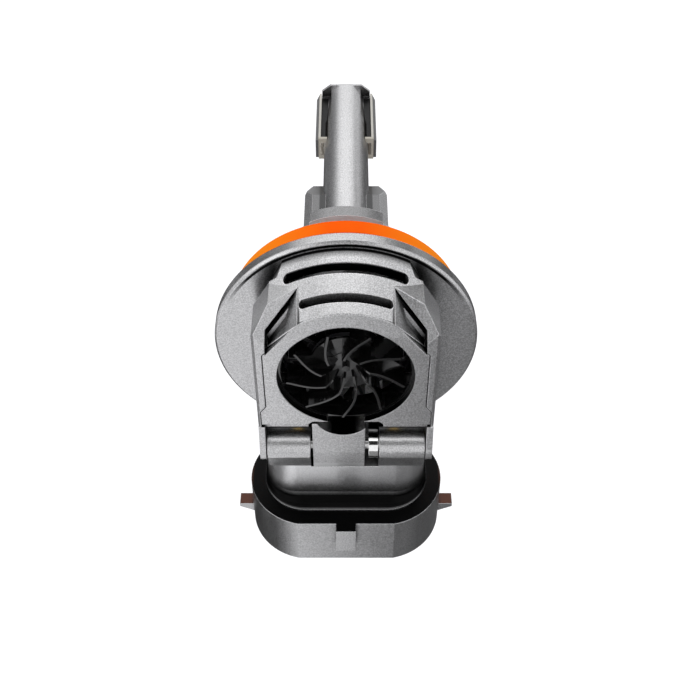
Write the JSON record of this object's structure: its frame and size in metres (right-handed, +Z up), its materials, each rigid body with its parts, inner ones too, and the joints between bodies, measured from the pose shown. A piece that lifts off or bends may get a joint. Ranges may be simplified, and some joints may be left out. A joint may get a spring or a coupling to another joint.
{
  "type": "headlight bulb",
  "caption": "LED headlight bulb: keyed flange and seal, LED stem, rear housing with a cooling fan, and a folding plug module with two blade terminals.",
  "frame": {"origin": "centre of the mounting flange's seating face, on the lamp axis", "axes": "+Y runs forward along the lamp axis into the headlight, +Z is up, the plug hangs down along -Z, +X is to the right seen from behind"},
  "size_m": [0.034, 0.0698, 0.0494],
  "materials": {
    "housing_metal": "fine blasted, grey",
    "stem_metal": "fine blasted, grey",
    "sink_metal": "milled",
    "seal_silicone": "satin silicone",
    "fan_plastic": "gloss black",
    "board_copper": "solder mask, black",
    "led_frame_black": "matt black",
    "led_phosphor": "phosphor yellow",
    "terminal_block": "beige potting",
    "steel": "bright",
    "bright_washer": "polished",
    "bearing_bronze": "sintered",
    "magnet": "ferrite",
    "winding": "enamelled copper",
    "terminal_tin": "tinned",
    "plug_insulator": "black",
    "driver_green": "solder mask, green",
    "ferrite": "moulded",
    "ceramic": "fired",
    "contact_gold": "plated"
  },
  "bodies": {
    "lamp_body": {"mounting_flange": "housing_metal", "keyed_collar": "stem_metal", "seal_seat": "stem_metal", "collar_lugs": "stem_metal", "sealing_ring": "seal_silicone", "led_column": "stem_metal", "stem_pedestal": "stem_metal", "led_board_left": "board_copper", "led_board_right": "board_copper", "led_frame_left": "led_frame_black", "led_frame_right": "led_frame_black", "led_chips_left": "led_phosphor", "led_chips_right": "led_phosphor", "led_terminal_left": "terminal_block", "led_terminal_right": "terminal_block", "flange_screws": "steel", "contact_springs": "contact_gold", "heat_sink": "sink_metal", "rear_housing": "housing_metal", "rear_cover": "housing_metal", "fan_frame": "fan_plastic", "fan_stator": "winding", "fan_bearing": "bearing_bronze", "hinge_pin": "steel"},
    "fan_rotor": {"fan_impeller": "fan_plastic", "fan_shaft": "steel", "fan_magnet": "magnet"},
    "plug_module": {"neck_shell": "housing_metal", "plug_shell": "housing_metal", "plug_core": "plug_insulator", "terminal_blades": "terminal_tin", "driver_board": "driver_green", "driver_inductor": "ferrite", "driver_capacitors": "ceramic", "contact_pads": "contact_gold", "hinge_block": "housing_metal", "hinge_washer": "bright_washer"}
  },
  "joints": [
    {"name": "fan_spin", "type": "hinge", "parent": "lamp_body", "child": "fan_rotor", "pos_m": [0, -0.006, 0.0014], "axis": [0, 1, 0], "continuous": true},
    {"name": "plug_swing", "type": "hinge", "parent": "lamp_body", "child": "plug_module", "pos_m": [0, -0.008, -0.0126], "axis": [-1, 0, 0], "range_deg": [0, 90]}
  ]
}
